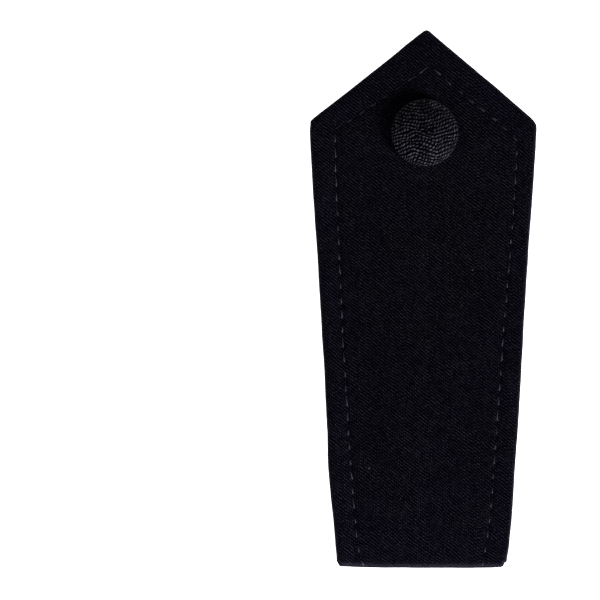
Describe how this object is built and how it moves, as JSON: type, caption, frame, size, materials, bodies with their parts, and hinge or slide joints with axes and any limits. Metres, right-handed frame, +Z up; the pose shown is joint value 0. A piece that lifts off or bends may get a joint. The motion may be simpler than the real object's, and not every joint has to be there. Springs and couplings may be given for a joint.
{
  "type": "shoulder board",
  "caption": "Cloth shoulder board with a pointed end, folded over at its square end, with a sewn border and a domed cloth-covered button near the tip.",
  "frame": {"origin": "middle of the board's box on the surface that its back rests on", "axes": "+Y along the board from its square end to its tip, +Z up out of its face, +X across it, to the right when the face is seen with the tip up"},
  "size_m": [0.055, 0.13, 0.0088],
  "materials": {
    "cover": "near-black navy twill with a dull, slightly fibrous face",
    "button_cover": "near-black cloth with a coarse rope-like weave and a soft sheen",
    "button_mould": "dull dark plastic",
    "button_post": "plain dull metal"
  },
  "bodies": {
    "root": {"cover": "cover", "button_cover": "button_cover", "button_mould": "button_mould", "button_post": "button_post"}
  },
  "joints": []
}
